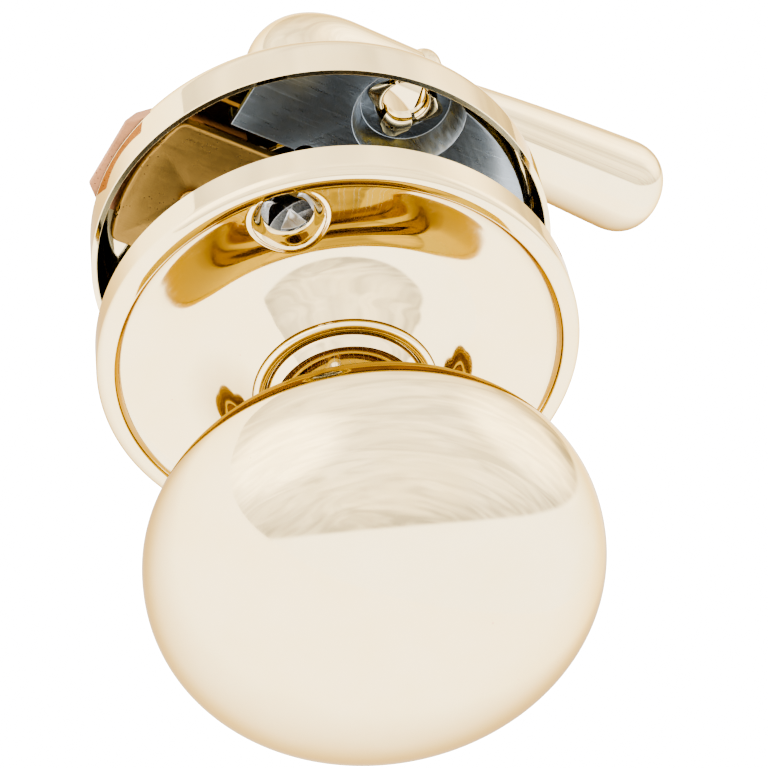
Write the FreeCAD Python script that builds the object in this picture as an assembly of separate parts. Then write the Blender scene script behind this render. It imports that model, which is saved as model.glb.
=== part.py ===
import FreeCAD, Part
import math
import os

# Surface-mounted knob latch for a screen or storm door, in millimetres.
# The spindle runs along Y: the knob is on the outside of the door (-Y) and the lever
# in the room (+Y). The origin is on the spindle's axis, in the plane where the latch
# case meets the inner face of the door. +Z is up, the bolt points to -X and the lever
# to +X.

# ---- driving dimensions ----
DOOR = 16.0              # thinnest door: inner face at y = 0, outer face at y = -DOOR
DOOR_TRAVEL = 19.0       # how much thicker a door the spindle reaches through
SHEET = 0.8              # brass sheet of the case, the boss, the rose and the knob
PLATE = 0.9              # galvanised plates
GAP = 0.3                # clearance between parts that move past each other
FIT = 0.05               # radial clearance of a running fit

DISC_R = 31.0            # outer radius of the case and of the rose
SCREW_R = 23.5           # distance of a screw hole from the spindle
SCREW_HOLE_R = 2.75      # hole for a No. 10 through screw
ROSE_TURN = 45.0         # the rose swivels freely and stands this far round

CASE_DEPTH = 9.0         # door face to the back of the case
CASE_ROUND = 3.4         # corner radius of the case
CENTRE_HOLE_R = 14.0     # hole of the case's back, under the boss
WINDOW_Z = 8.3           # half width of the bolt's window in the corner of the case
WINDOW_Y = (5.9, 8.15)   # front and back of that window
PETAL_REACH = 5.4        # tip radius of the petals folded over the plate
PETALS = 4               # petals round each screw hole

PLATE_Y = 3.6            # front face of the retaining plate
PLATE_R = 28.2
PLATE_LEFT = -20.5       # the plate is cut off here, beside the slide
SLOT_Z = 12.3            # half width of the slide's slot in the plate
SLOT_RIGHT = 20.0        # right end of the slot, clear of the slide when it is drawn in
FLANGE_DEPTH = 3.2       # how far the slot's guide flanges reach back
RECESS_R = 6.0           # floor radius of the dish round a screw hole
RECESS_WALL = 1.5        # radial width of the dish's sloping wall

SLIDE_Y = 3.0            # front face of the slide
SLIDE_T = 1.6
SLIDE_Z = 10.5           # half width of the slide
SLIDE_R = 28.5           # radius of the slide's round outer end
SLIDE_RIGHT = 13.2
BOLT_TRAVEL = 6.0        # the bolt draws in this far
NOSE_TIP = 31.9          # reach of the bolt's nose
NOSE_CORNER = 2.6        # chamfer of the nose's two corners
NOSE_INNER = -15.0
NOSE_Z = 8.0             # half width of the nose
NOSE_BACK = 7.9
NOSE_ROOT_BACK = 7.4     # the root of the nose passes under the boss's lip
NOSE_STEP = -21.5        # where the nose steps back to its full depth
NOSE_FRONT = 6.15        # front of the nose where it passes the window
RIVET_X = -19.7
RIVET_R = 1.65
LUG_T = 1.2              # thickness of the lugs bent back from the slide

SPINDLE = 6.35           # side of the square spindle, a quarter of an inch
SOCKET = 6.45            # side of the square holes that it slides in
SPINDLE_END = 40.0       # inner end of the spindle at the thinnest door
SPINDLE_START = -43.0    # outer end, in the knob
CAM_Y = (4.95, 6.55)
CAM_R = 7.4
CAM_EAR_R = 9.4
CAM_EAR_HALF = 1.5
CAM_SLEEVE_R = 5.6

SPRING_Z = 6.0           # the two springs stand this far above and below the axis
SPRING_Y = 6.05
SPRING_R = 1.25          # mean radius of a spring
SPRING_WIRE = 0.5
SPRING_TURNS = 8
GUIDE_R = 0.85
BRACKET_X = 25.2
BRACKET_T = 0.6
BRACKET_Z = 8.0
BRACKET_RIVET = (22.6, 2.6)  # x, and z to either side
BRACKET_RIVET_R = 1.2

BOSS_R = 17.0
BOSS_TOP = 25.0
BOSS_ROUND = 4.2
BOSS_FLANGE_R = 18.8
BOSS_LIP = 0.5           # depth of the lip crimped over inside the case
SHANK_R = 5.6
SHANK_Y = (7.4, 47.0)
BUSH_R = 7.8
BUSH_Y = (20.6, 25.3)
BUSH_FLANGE_R = 9.6

LEVER_Y = 53.0           # plane of the lever's arm
NECK_R = 7.2
NECK_START = 26.2
NECK_BASE_R = 8.6
NECK_BASE_T = 2.4
BEND_R = 9.0
COLLAR_X = 20.5          # where the collar starts, from the spindle's axis
COLLAR_R = 8.0
COLLAR_T = 3.4
BEAD_R = 6.7
BEAD_T = 1.3
SPIGOT_R = 3.5
SPIGOT_END = 36.0
GRIP_START_R = 5.2
GRIP_END_R = 7.7
GRIP_SWELL_X = 62.0      # where the grip is thickest
GRIP_END = 69.0

ROSE_BAND = 4.0          # height of the rose's straight band
ROSE_ROUND = 1.4
ROSE_STEP_R = 28.5       # the fine step inside the rim
ROSE_FLOOR_H = 2.6       # lowest height of the dished channel
DOME_TOP_H = 9.9
# Front of the dished channel and the low dome, as (radius, height above the door).
ROSE_DISH = ((28.8, 4.75), (27.7, 3.4), (25.6, 2.9), (22.5, ROSE_FLOOR_H), (20.0, 2.75), (18.0, 3.4),
             (16.0, 4.75), (14.0, 6.7), (12.6, 8.25), (11.1, DOME_TOP_H))
ROLL_R = 11.0            # centre radius of the rolled edge round the neck
ROLL_TUBE = 0.8
CUP_R = 4.5              # countersink of a screw hole in the rose
ROSE_HOLE_R = 3.2        # hole left at the foot of that countersink
CUP_LAND = 1.8           # the countersink's round land ends this far behind the floor
HUB_CLIP_R = 11.4        # outer radius of the neck's clip and washer

BACKPLATE_R = 29.7
BACKPLATE_LIFT = 5.0     # height of the raised middle of the backplate
BACKPLATE_STEP_R = 11.7  # radius of that raised middle
WASHER_H = (3.95, 4.6)
CLIP_H = (3.1, 3.8)

NECK_TUBE_R = 10.1       # outer radius of the knob's neck
NECK_TUBE_H = 2.1        # its inner end, above the door's outer face
KNOB_CENTRE = -55.6      # plane of the knob's widest ring
KNOB_R = 26.9
KNOB_FRONT = 19.3        # depth of the knob in front of its widest ring
KNOB_REAR = 16.8         # depth of the knob behind it
KNOB_POWER = 2.15        # a little squarer than an ellipse
KNOB_SEAM_R = 22.6       # seam between the front shell and the back
FLARE = 4.0              # radius of the hollow between the neck and the knob
PIN_R = 1.5
PIN_Y = -40.5

ROSE_Y = -DOOR           # the rose stands on the outer face of the door
AXIS_Y = FreeCAD.Vector(0, 1, 0)
AXIS_X = FreeCAD.Vector(1, 0, 0)
ORIGIN = FreeCAD.Vector(0, 0, 0)


# ---- helpers ----
def vec(x, y, z=0.0):
    return FreeCAD.Vector(x, y, z)


def box(x, y, z):
    """A block from three (low, high) pairs."""
    size = (x[1] - x[0], y[1] - y[0], z[1] - z[0])
    return Part.makeBox(size[0], size[1], size[2], vec(x[0], y[0], z[0]))


def rod_y(radius, y, x=0.0, z=0.0):
    return Part.makeCylinder(radius, y[1] - y[0], vec(x, y[0], z), AXIS_Y)


def rod_x(radius, x, y=0.0, z=0.0):
    return Part.makeCylinder(radius, x[1] - x[0], vec(x[0], y, z), AXIS_X)


def ring_y(outer, inner, y):
    return rod_y(outer, y).cut(rod_y(inner, (y[0] - 1, y[1] + 1)))


def square_bar(side, y):
    half = side / 2
    return box((-half, half), y, (-half, half))


def edges_of(points):
    """Straight edges through points; a point triple ("arc", middle, end) is an arc."""
    edges = []
    here = points[0]
    for step in points[1:]:
        if step[0] == "arc":
            edges.append(Part.Arc(here, step[1], step[2]).toShape())
            here = step[2]
        else:
            edges.append(Part.LineSegment(here, step[1]).toShape())
            here = step[1]
    return edges


def line(x, y):
    return ("line", vec(x, y))


def quarter(centre, radius, start, end):
    """An arc round a centre, with its angles in degrees."""
    points = []
    for angle in ((start + end) / 2, end):
        turn = math.radians(angle)
        points.append(vec(centre[0] + radius * math.cos(turn), centre[1] + radius * math.sin(turn)))
    return ("arc", points[0], points[1])


def spin(edges, axis=AXIS_Y):
    """A solid of revolution from a closed outline in the XY plane."""
    face = Part.Face(Part.Wire(edges))
    solid = face.revolve(ORIGIN, axis, 360)
    return solid if solid.Volume > 0 else solid.reversed()


def spline(points):
    curve = Part.BSplineCurve()
    curve.interpolate(points)
    return curve.toShape()


def sheet_ring(front, thickness):
    """A dished sheet spun round Y: its front outline, and the same outline moved back."""
    back = [vec(point.x, point.y + thickness) for point in front]
    edges = [spline(front)]
    edges.append(Part.LineSegment(front[-1], back[-1]).toShape())
    edges.append(spline(list(reversed(back))))
    edges.append(Part.LineSegment(back[0], front[0]).toShape())
    return spin(edges)


def rounded_disc(radius, y, corner):
    """A disc whose back edge, at the larger y, is rounded."""
    edges = edges_of([
        vec(0, y[0]),
        line(radius, y[0]),
        line(radius, y[1] - corner),
        quarter((radius - corner, y[1] - corner), corner, 0, 90),
        line(0, y[1]),
        line(0, y[0]),
    ])
    return spin(edges)


def turned(shape, angle):
    """A copy turned about the spindle; a positive angle turns +X towards +Z."""
    copy = shape.copy()
    copy.rotate(ORIGIN, AXIS_Y, -angle)
    return copy


def screw_places():
    """Centres of the two screw holes, one above and one below the spindle."""
    return [(0.0, SCREW_R), (0.0, -SCREW_R)]


def petal_ring(y_collar, y_petal, reach, x, z):
    """Pierced petals folded outwards from a short collar round a screw hole."""
    inner = SCREW_HOLE_R
    collar_r = inner + 0.6
    shape = rod_y(collar_r, y_collar, x, z)
    for index in range(PETALS):
        base = 2.0
        tip = 1.1
        outline = [
            vec(inner, y_petal[0], -base),
            vec(reach, y_petal[0], -tip),
            vec(reach, y_petal[0], tip),
            vec(inner, y_petal[0], base),
            vec(inner, y_petal[0], -base),
        ]
        petal = Part.Face(Part.makePolygon(outline)).extrude(vec(0, y_petal[1] - y_petal[0], 0))
        petal.rotate(ORIGIN, AXIS_Y, index * 360.0 / PETALS)
        petal.translate(vec(x, 0, z))
        shape = shape.fuse(petal)
    hole = rod_y(inner, (y_petal[0] - 1, y_collar[1] + 1), x, z)
    return shape.cut(hole)


# ---- latch case, on the inner face of the door ----
def case_back_inner():
    return CASE_DEPTH - SHEET


def latch_case():
    outer = rounded_disc(DISC_R, (0, CASE_DEPTH), CASE_ROUND)
    inner = rounded_disc(DISC_R - SHEET, (-1, case_back_inner()), CASE_ROUND - SHEET)
    case = outer.cut(inner)
    case = case.cut(rod_y(CENTRE_HOLE_R, (0, CASE_DEPTH + 1)))
    case = case.cut(box((-DISC_R - 1, -24), WINDOW_Y, (-WINDOW_Z, WINDOW_Z)))
    floor = case_back_inner() - PLATE
    case = case.cut(rivet_rods(BRACKET_RIVET_R, (0, CASE_DEPTH + 1)))
    for x, z in screw_places():
        case = case.fuse(petal_ring((floor - 0.6, CASE_DEPTH), (floor - 0.6, floor), PETAL_REACH, x, z))
        case = case.cut(rod_y(SCREW_HOLE_R, (0, CASE_DEPTH + 1), x, z))
    return case.removeSplitter()


def dish(x, z, grow):
    """The room taken by a dished seat round a screw hole, grown by one plate thickness."""
    floor = case_back_inner() - PLATE + grow
    top = PLATE_Y + grow
    cone = Part.makeCone(RECESS_R + RECESS_WALL + grow * 0.6, RECESS_R + grow * 0.6,
                         floor - top, vec(x, top, z), AXIS_Y)
    return cone


def retaining_plate():
    plate = rod_y(PLATE_R, (PLATE_Y, PLATE_Y + PLATE))
    seat = rounded_disc(DISC_R - SHEET - 0.2, (0, case_back_inner()), CASE_ROUND - SHEET + 0.2)
    for x, z in screw_places():
        plate = plate.fuse(dish(x, z, PLATE))
    for x, z in screw_places():
        plate = plate.cut(dish(x, z, 0).fuse(rod_y(RECESS_R + RECESS_WALL, (0, PLATE_Y), x, z)))
        plate = plate.cut(rod_y(SCREW_HOLE_R + 1.3, (0, CASE_DEPTH), x, z))
    plate = plate.common(seat)
    plate = plate.common(rod_y(PLATE_R, (0, CASE_DEPTH)))
    plate = plate.cut(box((-DISC_R, PLATE_LEFT), (0, CASE_DEPTH), (-DISC_R, DISC_R)))
    plate = plate.cut(box((-DISC_R, SLOT_RIGHT), (0, CASE_DEPTH), (-SLOT_Z, SLOT_Z)))
    for side in (-1, 1):
        z = sorted((side * SLOT_Z, side * (SLOT_Z + PLATE)))
        flange = box((PLATE_LEFT, -11.0), (PLATE_Y, PLATE_Y + FLANGE_DEPTH), z)
        plate = plate.fuse(flange)
        notch = rod_y(1.6, (0, CASE_DEPTH), -9.4, side * SLOT_Z)
        plate = plate.cut(notch)
    plate = plate.removeSplitter()
    front = [edge for edge in plate.Edges if is_front_slot_edge(edge)]
    return plate.makeFillet(0.5, front) if front else plate


def is_front_slot_edge(edge):
    """A front edge of a guide flange, along X."""
    box_ = edge.BoundBox
    along_x = box_.XLength > 5 and box_.YLength < 0.01 and box_.ZLength < 0.01
    return along_x and abs(box_.YMin - PLATE_Y) < 0.01 and abs(abs(box_.ZMin) - SLOT_Z) < 0.01


def rivet_rods(radius, y):
    """The two places where the spring bracket is riveted, as one compound."""
    x, z = BRACKET_RIVET
    return Part.makeCompound([rod_y(radius, y, x, side * z) for side in (-1, 1)])


def spring_bracket():
    foot_y = (case_back_inner() - BRACKET_T, case_back_inner())
    foot = box((BRACKET_X - 5.0, BRACKET_X), foot_y, (-BRACKET_Z, BRACKET_Z))
    wall = box((BRACKET_X, BRACKET_X + BRACKET_T), (4.75, foot_y[1]), (-BRACKET_Z, BRACKET_Z))
    bracket = foot.fuse(wall)
    for side in (-1, 1):
        bracket = bracket.cut(rod_x(GUIDE_R, (BRACKET_X - 1, BRACKET_X + 2), SPRING_Y, side * SPRING_Z))
    return bracket.cut(rivet_rods(BRACKET_RIVET_R, (0, CASE_DEPTH))).removeSplitter()


def bracket_rivets():
    rivets = []
    x = BRACKET_RIVET[0]
    foot = case_back_inner() - BRACKET_T
    for side in (-1, 1):
        z = side * BRACKET_RIVET[1]
        shank = rod_y(BRACKET_RIVET_R, (foot - 0.1, CASE_DEPTH), x, z)
        head = rod_y(1.5, (foot - 0.6, foot), x, z)
        tail = rod_y(1.7, (CASE_DEPTH, CASE_DEPTH + 0.45), x, z)
        rivets.append(shank.fuse([head, tail]).removeSplitter())
    return rivets


def spring_guides():
    guides = []
    for side in (-1, 1):
        stem = rod_x(GUIDE_R, (10.6, BRACKET_X + 1.6), SPRING_Y, side * SPRING_Z)
        head = rod_x(1.4, (BRACKET_X + BRACKET_T, BRACKET_X + BRACKET_T + 0.7), SPRING_Y, side * SPRING_Z)
        guides.append(stem.fuse(head).removeSplitter())
    return guides


def coil(x, y, z):
    """A closed compression spring along X."""
    length = x[1] - x[0] - SPRING_WIRE
    helix = Part.makeHelix(length / SPRING_TURNS, length, SPRING_R)
    section = Part.Wire(Part.makeCircle(SPRING_WIRE / 2, vec(SPRING_R, 0, 0), vec(0, 1, 0)))
    pipe = Part.Wire(helix).makePipeShell([section], True, True)
    pipe.rotate(ORIGIN, vec(0, 1, 0), 90)
    pipe.translate(vec(x[0] + SPRING_WIRE / 2, y, z))
    return pipe


def bolt_springs():
    span = (SLIDE_RIGHT + 0.05, BRACKET_X - 0.05)
    return [coil(span, SPRING_Y, side * SPRING_Z) for side in (-1, 1)]


# ---- boss and bearing on the back of the case ----
def case_boss():
    outer = rounded_disc(BOSS_R, (CASE_DEPTH, BOSS_TOP), BOSS_ROUND)
    flange = rounded_disc(BOSS_FLANGE_R, (CASE_DEPTH, CASE_DEPTH + SHEET), SHEET - 0.1)
    spigot = rod_y(CENTRE_HOLE_R - 0.02, (case_back_inner() - BOSS_LIP, CASE_DEPTH))
    lip = rod_y(CENTRE_HOLE_R + 0.8, (case_back_inner() - BOSS_LIP, case_back_inner()))
    boss = outer.fuse([flange, spigot, lip])
    cavity = rounded_disc(BOSS_R - SHEET, (CASE_DEPTH + SHEET, BOSS_TOP - SHEET), BOSS_ROUND - SHEET)
    throat = rod_y(CENTRE_HOLE_R - SHEET, (0, CASE_DEPTH + SHEET + 0.1))
    boss = boss.cut(cavity.fuse(throat))
    return boss.cut(rod_y(BUSH_R, (0, BOSS_TOP + 1))).removeSplitter()


def boss_bushing():
    body = rod_y(BUSH_R, BUSH_Y)
    flange = rod_y(BUSH_FLANGE_R, (BUSH_Y[0], BOSS_TOP - SHEET))
    bush = body.fuse(flange)
    return bush.cut(rod_y(SHANK_R + FIT, (0, BOSS_TOP + 5))).removeSplitter()


# ---- bolt ----
def slide_outline():
    round_end = rod_y(SLIDE_R, (SLIDE_Y, SLIDE_Y + SLIDE_T))
    bar = box((-SLIDE_R - 1, SLIDE_RIGHT), (SLIDE_Y, SLIDE_Y + SLIDE_T), (-SLIDE_Z, SLIDE_Z))
    return round_end.common(bar)


def latch_slide():
    slide = slide_outline()
    corners = [e for e in slide.Edges if e.BoundBox.YLength > SLIDE_T - 0.01 and e.BoundBox.XMax < 0]
    slide = slide.makeFillet(1.6, corners)
    rim = [e for e in slide.Edges if e.BoundBox.YMax < SLIDE_Y + 0.01 and e.BoundBox.XMin < SLIDE_RIGHT - 1]
    slide = slide.makeFillet(0.55, rim)
    window = box((-CAM_SLEEVE_R - GAP - BOLT_TRAVEL, CAM_SLEEVE_R + GAP), (0, CASE_DEPTH),
                 (-CAM_SLEEVE_R - 0.6, CAM_SLEEVE_R + 0.6))
    slide = slide.cut(window)
    back = SLIDE_Y + SLIDE_T
    tail = box((SLIDE_RIGHT - LUG_T, SLIDE_RIGHT), (back - 0.2, 7.4), (-SLIDE_Z + 1, SLIDE_Z - 1))
    slide = slide.fuse(tail)
    for side in (-1, 1):
        z = sorted((side * (CAM_R + 0.4), side * (SLIDE_Z - 0.4)))
        lug = box((CAM_EAR_HALF + 0.3, CAM_EAR_HALF + 0.3 + LUG_T), (back - 0.2, 7.0), z)
        slide = slide.fuse(lug)
        slide = slide.cut(rod_x(GUIDE_R + 0.25, (8, SLIDE_RIGHT + 1), SPRING_Y, side * SPRING_Z))
    return slide.cut(rod_y(RIVET_R - 0.5, (0, CASE_DEPTH), RIVET_X, 0)).removeSplitter()


def bolt_nose():
    back = SLIDE_Y + SLIDE_T
    root = box((-27.0, NOSE_INNER), (back, NOSE_ROOT_BACK), (-NOSE_Z, NOSE_Z))
    root = root.fuse(box((-27.0, NOSE_STEP), (back, NOSE_BACK), (-NOSE_Z, NOSE_Z)))
    tip = box((-NOSE_TIP, -26.9), (NOSE_FRONT, NOSE_BACK), (-NOSE_Z, NOSE_Z))
    nose = root.fuse(tip).removeSplitter()
    corners = [e for e in nose.Edges if e.BoundBox.YLength > 1 and abs(e.BoundBox.XMax + NOSE_TIP) < 0.01]
    nose = nose.makeChamfer(NOSE_CORNER, corners)
    ramp = [e for e in nose.Edges if abs(e.BoundBox.XMax + NOSE_TIP) < 0.01 and e.BoundBox.YMin > NOSE_BACK - 0.01]
    nose = nose.makeChamfer(1.1, ramp)
    return nose.cut(rod_y(RIVET_R - 0.5, (0, CASE_DEPTH), RIVET_X, 0))


def nose_rivet():
    shank = rod_y(RIVET_R - 0.5, (SLIDE_Y - 0.1, NOSE_ROOT_BACK), RIVET_X, 0)
    head = rod_y(RIVET_R, (SLIDE_Y - 0.45, SLIDE_Y), RIVET_X, 0)
    rivet = shank.fuse(head).removeSplitter()
    crown = [e for e in rivet.Edges if e.BoundBox.YMax < SLIDE_Y - 0.44]
    return rivet.makeFillet(0.3, crown)


# ---- hub and lever ----
def hub_cam():
    cam = rod_y(CAM_R, CAM_Y)
    cam = cam.fuse(box((-CAM_EAR_HALF, CAM_EAR_HALF), CAM_Y, (-CAM_EAR_R, CAM_EAR_R)))
    cam = cam.fuse(rod_y(CAM_SLEEVE_R, (2.2, SHANK_Y[0])))
    return cam.cut(square_bar(SOCKET, (0, CASE_DEPTH))).removeSplitter()


def lever_shank():
    shank = rod_y(SHANK_R, SHANK_Y)
    bore_end = SPINDLE_END + 1.0
    shank = shank.cut(square_bar(SOCKET, (0, bore_end)))
    groove_y = (BUSH_Y[0] - 1.5, BUSH_Y[0] - 0.6)
    groove = ring_y(SHANK_R + 1, SHANK_R - 0.6, groove_y)
    shank = shank.cut(groove)
    return shank.cut(screw_rod(1.6))


def screw_rod(radius, start=3.3, end=NECK_R + 2):
    """A rod under the spindle, for the set screw and its hole."""
    y = NECK_START + 6.5
    return Part.makeCylinder(radius, end - start, vec(0, y, -end), vec(0, 0, 1))


def shank_clip():
    y = (BUSH_Y[0] - 1.45, BUSH_Y[0] - 0.65)
    clip = ring_y(8.3, SHANK_R - 0.55, y)
    return clip.cut(box((0, 10), (0, 30), (-2.0, 2.0)))


def thrust_washer():
    return ring_y(8.8, SHANK_R + 0.1, (BUSH_Y[1] + 0.1, NECK_START - 0.05))


def lever_elbow():
    straight = (NECK_START, LEVER_Y - BEND_R)
    neck = rod_y(NECK_R, straight)
    base = rod_y(NECK_BASE_R, (NECK_START, NECK_START + NECK_BASE_T))
    base = base.makeFillet(0.7, base.Edges)
    circle = Part.Face(Part.Wire(Part.makeCircle(NECK_R, vec(0, straight[1], 0), AXIS_Y)))
    bend = circle.revolve(vec(BEND_R, straight[1], 0), vec(0, 0, 1), -90)
    arm = rod_x(NECK_R, (BEND_R, COLLAR_X), LEVER_Y)
    spigot = rod_x(SPIGOT_R, (COLLAR_X, SPIGOT_END), LEVER_Y)
    elbow = neck.fuse([base, bend, arm, spigot])
    elbow = elbow.cut(rod_y(SHANK_R, (0, SHANK_Y[1])))
    return elbow.cut(screw_rod(1.6)).removeSplitter()


def lever_set_screw():
    screw = screw_rod(1.55, 3.35, NECK_R - 0.3)
    y = NECK_START + 6.5
    socket = Part.makeCylinder(0.8, 2.0, vec(0, y, -NECK_R), vec(0, 0, 1))
    return screw.cut(socket)


def bead(radius, x, inner):
    """A turned ring round the lever's arm with a half-round rim."""
    half = (x[1] - x[0]) / 2
    middle = (x[0] + x[1]) / 2
    edges = edges_of([
        vec(x[0], inner),
        line(x[0], radius - half),
        ("arc", vec(middle, radius), vec(x[1], radius - half)),
        line(x[1], inner),
        line(x[0], inner),
    ])
    ring = spin(edges, AXIS_X)
    ring.translate(vec(0, LEVER_Y, 0))
    return ring


def lever_collar():
    big = bead(COLLAR_R, (COLLAR_X, COLLAR_X + COLLAR_T), SPIGOT_R + 0.02)
    small = bead(BEAD_R, (COLLAR_X + COLLAR_T, COLLAR_X + COLLAR_T + BEAD_T), SPIGOT_R + 0.02)
    return big.fuse(small).removeSplitter()


def lever_grip():
    start = COLLAR_X + COLLAR_T + BEAD_T
    reach = GRIP_END - GRIP_SWELL_X
    cap = []
    for index in range(7):
        angle = math.radians(90 - 15 * index)
        x = GRIP_SWELL_X + reach * abs(math.cos(angle)) ** (2 / 2.4)
        cap.append(vec(x, GRIP_END_R * abs(math.sin(angle)) ** (2 / 2.4)))
    cap[-1] = vec(GRIP_END, 0)
    edges = [
        Part.LineSegment(vec(start, 0), vec(start, GRIP_START_R)).toShape(),
        Part.Arc(vec(start, GRIP_START_R),
                 vec((start + GRIP_SWELL_X) / 2, (GRIP_START_R + GRIP_END_R) / 2 + 0.25),
                 cap[0]).toShape(),
        spline(cap),
        Part.LineSegment(cap[-1], vec(start, 0)).toShape(),
    ]
    grip = spin(edges, AXIS_X)
    grip.translate(vec(0, LEVER_Y, 0))
    return grip.cut(rod_x(SPIGOT_R + 0.02, (start - 1, SPIGOT_END + 0.5), LEVER_Y))


# ---- rose, on the outer face of the door ----
def at_rose(radius, height):
    """A point of the rose: its radius, and its height above the outer face of the door."""
    return vec(radius, ROSE_Y - height)


def rose_rim():
    """The straight band and the rounded rim down to the fine step."""
    top = ROSE_BAND + ROSE_ROUND
    lip = ROSE_STEP_R + 0.2
    edges = edges_of([
        at_rose(DISC_R, 0),
        ("line", at_rose(DISC_R, ROSE_BAND)),
        ("arc", at_rose(DISC_R - 0.41, ROSE_BAND + 0.99), at_rose(DISC_R - ROSE_ROUND, top)),
        ("line", at_rose(lip, top - 0.5)),
        ("line", at_rose(lip, top - 0.5 - SHEET)),
        ("line", at_rose(DISC_R - SHEET, ROSE_BAND - 0.2)),
        ("line", at_rose(DISC_R - SHEET, 0)),
        ("line", at_rose(DISC_R, 0)),
    ])
    return spin(edges)


def behind(points, depth):
    """The points moved back through the sheet, square to their line."""
    moved = []
    last = len(points) - 1
    for index, (radius, height) in enumerate(points):
        before = points[max(index - 1, 0)]
        after = points[min(index + 1, last)]
        along = math.hypot(after[0] - before[0], after[1] - before[1])
        across_r = (after[1] - before[1]) / along
        across_h = (before[0] - after[0]) / along
        moved.append((radius - across_r * depth, height - across_h * depth))
    return moved


def rose_dish():
    """The dished channel and the dome up to the rolled edge."""
    front = [at_rose(*point) for point in ROSE_DISH]
    back = [at_rose(*point) for point in behind(ROSE_DISH, SHEET)]
    back.reverse()
    edges = [spline(front), Part.LineSegment(front[-1], back[0]).toShape()]
    edges += [spline(back), Part.LineSegment(back[-1], front[0]).toShape()]
    return spin(edges)


def outer_rose():
    roll = Part.makeTorus(ROLL_R, ROLL_TUBE, vec(0, ROSE_Y - DOME_TOP_H + 0.1, 0), AXIS_Y)
    rose = rose_rim().fuse([rose_dish(), roll])
    floor_y = ROSE_Y - ROSE_FLOOR_H
    for x, z in screw_places():
        cup = Part.makeCone(CUP_R + 0.6, ROSE_HOLE_R + 0.6, 1.6, vec(x, floor_y - 0.35, z), AXIS_Y)
        bowl = Part.makeCone(CUP_R, ROSE_HOLE_R, 1.65, vec(x, floor_y - 0.38, z), AXIS_Y)
        mouth = rod_y(CUP_R, (floor_y - 4, floor_y - 0.37), x, z)
        land = rod_y(ROSE_HOLE_R + 0.6, (floor_y + 1.2, floor_y + CUP_LAND), x, z)
        rose = rose.fuse([cup, land]).cut(bowl.fuse(mouth))
        rose = rose.cut(rod_y(ROSE_HOLE_R, (ROSE_Y - 8, ROSE_Y + 1), x, z))
    return turned(rose.removeSplitter(), ROSE_TURN)


def rose_backplate():
    edges = edges_of([
        at_rose(NECK_TUBE_R + GAP, BACKPLATE_LIFT),
        ("line", at_rose(BACKPLATE_STEP_R, BACKPLATE_LIFT)),
        ("line", at_rose(BACKPLATE_STEP_R + 1.2, 0.05)),
        ("line", at_rose(BACKPLATE_R, 0.05)),
        ("line", at_rose(BACKPLATE_R, 0.05 + PLATE)),
        ("line", at_rose(BACKPLATE_STEP_R + 1.9, 0.05 + PLATE)),
        ("line", at_rose(BACKPLATE_STEP_R + 0.6, BACKPLATE_LIFT + PLATE)),
        ("line", at_rose(NECK_TUBE_R + GAP, BACKPLATE_LIFT + PLATE)),
        ("line", at_rose(NECK_TUBE_R + GAP, BACKPLATE_LIFT)),
    ])
    plate = spin(edges)
    for x, z in screw_places():
        plate = plate.cut(rod_y(CUP_R + 0.3, (ROSE_Y - 3, ROSE_Y + 1), x, z))
        for index in range(PETALS):
            petal = box((-CUP_R - 0.6, -CUP_R + 0.35), (ROSE_Y - 0.05 - PLATE, ROSE_Y - 0.05), (-1.2, 1.2))
            petal.rotate(ORIGIN, AXIS_Y, 45 + index * 360.0 / PETALS)
            petal.translate(vec(x, 0, z))
            plate = plate.fuse(petal)
    return turned(plate.removeSplitter(), ROSE_TURN)


def rose_washer():
    return ring_y(HUB_CLIP_R, NECK_TUBE_R + FIT, (ROSE_Y - WASHER_H[1], ROSE_Y - WASHER_H[0]))


# ---- knob ----
def knob_body(shrink):
    """The knob's outer form, or its hollow when it is shrunk by the sheet."""
    points = []
    for index in range(17):
        angle = math.radians(-90 + 180 * index / 16)
        depth = KNOB_FRONT if angle < 0 else KNOB_REAR
        reach = abs(math.cos(angle)) ** (2 / KNOB_POWER)
        rise = abs(math.sin(angle)) ** (2 / KNOB_POWER) * (depth - shrink)
        points.append(vec((KNOB_R - shrink) * reach, KNOB_CENTRE + math.copysign(rise, angle)))
    points[0] = vec(0, points[0].y)
    points[-1] = vec(0, points[-1].y)
    curve = Part.BSplineCurve()
    curve.interpolate(points, InitialTangent=vec(1, 0), FinalTangent=vec(-1, 0))
    return spin([curve.toShape(), Part.LineSegment(points[-1], points[0]).toShape()])


def rear_core(radius):
    return rod_y(radius, (KNOB_CENTRE, KNOB_CENTRE + KNOB_REAR + 5))


def knob_shell():
    shell = knob_body(0).cut(knob_body(SHEET))
    return shell.cut(rear_core(KNOB_SEAM_R)).removeSplitter()


def neck_solid(radius, flare, y_end):
    """The neck, widening in a hollow curve where it meets the knob."""
    join = KNOB_CENTRE + KNOB_REAR * 0.86
    edges = edges_of([
        vec(0, join - 2),
        line(radius + flare, join - 2),
        line(radius + flare, join),
        quarter((radius + flare, join + flare), flare, 270, 180),
        line(radius, y_end),
        line(0, y_end),
        line(0, join - 2),
    ])
    return spin(edges)


def knob_back():
    neck_end = ROSE_Y - NECK_TUBE_H
    outer = knob_body(0).common(rear_core(KNOB_SEAM_R - 0.12))
    outer = outer.cut(rod_y(KNOB_R, (KNOB_CENTRE - 1, KNOB_CENTRE + 4)))
    solid = outer.fuse(neck_solid(NECK_TUBE_R, FLARE, neck_end))
    hollow = knob_body(SHEET).fuse(neck_solid(NECK_TUBE_R - 0.9, FLARE - 0.9, neck_end + 1))
    return solid.cut(hollow).removeSplitter()


def knob_core():
    core = rod_y(NECK_TUBE_R - 0.9, (-45.0, ROSE_Y - NECK_TUBE_H - 0.6))
    core = core.cut(square_bar(SOCKET, (SPINDLE_START - 0.3, 0)))
    return core.cut(pin_rod(PIN_R))


def pin_rod(radius):
    return Part.makeCylinder(radius, 16.8, vec(0, PIN_Y, -8.4), vec(0, 0, 1))


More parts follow.
